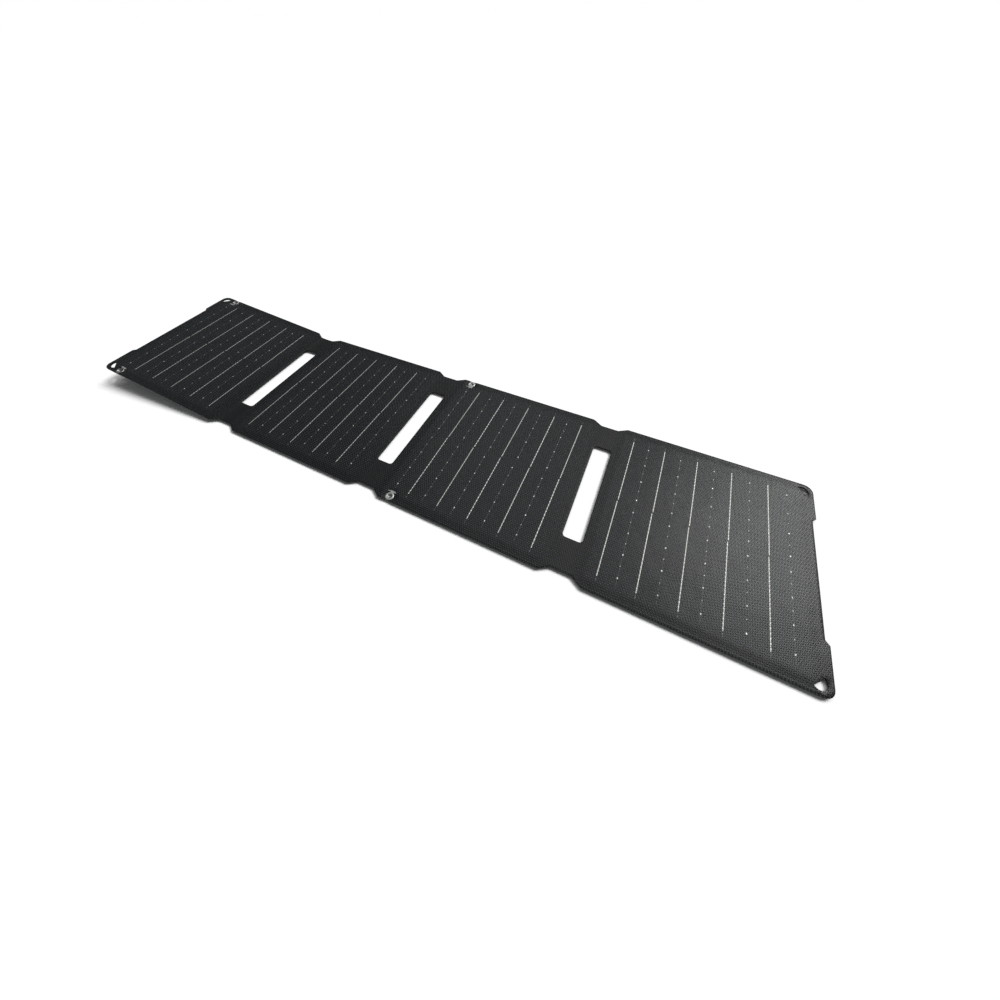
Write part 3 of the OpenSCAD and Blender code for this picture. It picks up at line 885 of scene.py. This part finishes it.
def make_snaps():
    """Rolled-rim sockets and eyelets, each on its barrel with a floored well."""
    nickel = metal_material("nickel_plate", (0.34, 0.34, 0.33), 0.38)
    specs = {
        "snap_sockets": ("cover_panel", 0, 2.5 * MM, FILM_TOP - 0.1 * MM),
        "snap_eyelets": ("third_panel", 2, 1.65 * MM, MARGIN_TOP + 0.8 * MM),
    }
    low = MARGIN_TOP
    for node, (body, panel, bore, top) in specs.items():
        lo, hi = flat_box(node)
        outer = (hi.x - lo.x) / 2
        rim = rolled_rim(bore + 0.5 * MM, outer, top - low)
        floor = lo.z - low + 0.35 * MM
        well = [(bore + 0.2 * MM, -0.05 * MM), (bore, -0.25 * MM),
                (bore, floor + 0.1 * MM), (bore - 0.15 * MM, floor), (0.4 * MM, floor)]
        barrel = [(2.9 * MM, lo.z - low), (3.1 * MM, lo.z - low + 0.2 * MM), (3.1 * MM, 0)]
        piece = lathe(f"{node}_rim", snap_places(node), barrel + rim + well, low, nickel, panel)
        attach(piece, body)
        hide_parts(node)
    return nickel


def finish_cad_nodes(nickel, copper):
    """Materials of the CAD nodes that stay as they are."""
    looks = {
        "cells": cell_material(),
        "board": board_material(),
        "clear_sheet": clear_material(),
        "rear_sheet": plastic_material("rear_sheet", (0.72, 0.72, 0.69), 0.4, 700.0, 0.01 * MM),
    }
    case = plastic_material("case_plastic", (0.016, 0.017, 0.019), 0.48, 1500.0, 0.05 * MM)
    rubber = plastic_material("port_rubber", (0.012, 0.0125, 0.013), 0.66, 1100.0, 0.03 * MM, 0.3)
    steel = metal_material("port_steel", (0.66, 0.66, 0.65), 0.28)
    own = {
        "snap_caps": nickel, "snap_studs": nickel, "box_base": case, "box_lid": case,
        "box_seal": rubber, "cover_anchor": rubber, "port_cover": rubber,
        "circuit_board": circuit_material(),
        "circuit_parts": plastic_material("chip_epoxy", (0.03, 0.03, 0.032), 0.4, 2200.0, 0.02 * MM),
        "usb_a_port": steel, "usb_c_port": steel,
        "light_pipe": light_material(),
        "box_screws": metal_material("screw_steel", (0.35, 0.35, 0.36), 0.34),
        "lead_tabs": copper,
    }
    for name, obj in frame["nodes"].items():
        suffix = name.split("_", 1)[1]
        material = own.get(name) or looks.get(suffix)
        if material is None or obj.hide_render:
            continue
        for slot in obj.material_slots:
            slot.material = material
        if not obj.material_slots:
            obj.data.materials.append(material)


# ---------------------------------------------------------------- stage

def make_camera():
    data = bpy.data.cameras.new("camera")
    data.lens = CAMERA_LENS
    data.sensor_width = 36
    data.shift_x, data.shift_y = CAMERA_SHIFT
    data.clip_start, data.clip_end = 0.01, 60
    camera = bpy.data.objects.new("camera", data)
    bpy.context.scene.collection.objects.link(camera)
    look = Vector(CAMERA_LOOK).normalized()
    level = look.cross(Vector((0, 0, 1))).normalized()
    up = level.cross(look)
    c, s = math.cos(math.radians(CAMERA_ROLL)), math.sin(math.radians(CAMERA_ROLL))
    axes = Matrix((level * c + up * s, up * c - level * s, -look)).transposed()
    camera.matrix_world = Matrix.Translation(CAMERA_PLACE) @ axes.to_4x4()
    bpy.context.scene.camera = camera


def make_stage():
    size = 30
    corners = [(-size, -size, 0), (size, -size, 0), (size, size, 0), (-size, size, 0)]
    mesh = bpy.data.meshes.new("floor")
    mesh.from_pydata(corners, [], [(0, 1, 2, 3)])
    floor = bpy.data.objects.new("floor", mesh)
    bpy.context.scene.collection.objects.link(floor)
    floor.location.z = cad_lo.z - 0.05 * MM
    shader = Shader("floor_paper", roughness=0.9, specular=0.05)
    shader.set("Base Color", (0.92, 0.92, 0.92, 1))
    mesh.materials.append(shader.material)


def make_lights():
    scene = bpy.context.scene
    scene.view_settings.view_transform = "Standard"
    world = bpy.data.worlds.new("studio")
    scene.world = world
    world.use_nodes = True
    background = world.node_tree.nodes["Background"]
    background.inputs["Color"].default_value = (0.96, 0.98, 1.0, 1)
    background.inputs["Strength"].default_value = 0.14
    nodes, links = world.node_tree.nodes, world.node_tree.links
    backdrop = nodes.new("ShaderNodeBackground")
    backdrop.inputs["Color"].default_value = (1, 1, 1, 1)
    choice = nodes.new("ShaderNodeMixShader")
    links.new(nodes.new("ShaderNodeLightPath").outputs["Is Camera Ray"], choice.inputs[0])
    links.new(background.outputs[0], choice.inputs[1])
    links.new(backdrop.outputs[0], choice.inputs[2])
    links.new(choice.outputs[0], nodes["World Output"].inputs["Surface"])
    for name, energy, width, towards in (("soft_key", 3.2, 26, (0.42, 0.52, 0.75)),
                                         ("soft_top", 0.9, 40, (-0.14, 0.52, 0.84))):
        data = bpy.data.lights.new(name, "SUN")
        data.energy = energy
        data.angle = math.radians(width)
        lamp = bpy.data.objects.new(name, data)
        scene.collection.objects.link(lamp)
        lamp.rotation_mode = "QUATERNION"
        lamp.rotation_quaternion = Vector(towards).to_track_quat("Z", "Y")


make_camera()
make_stage()
make_lights()
make_laminate()
make_ribbons()
copper_sheet = make_links()
nickel_plate = make_snaps()
finish_cad_nodes(nickel_plate, copper_sheet)
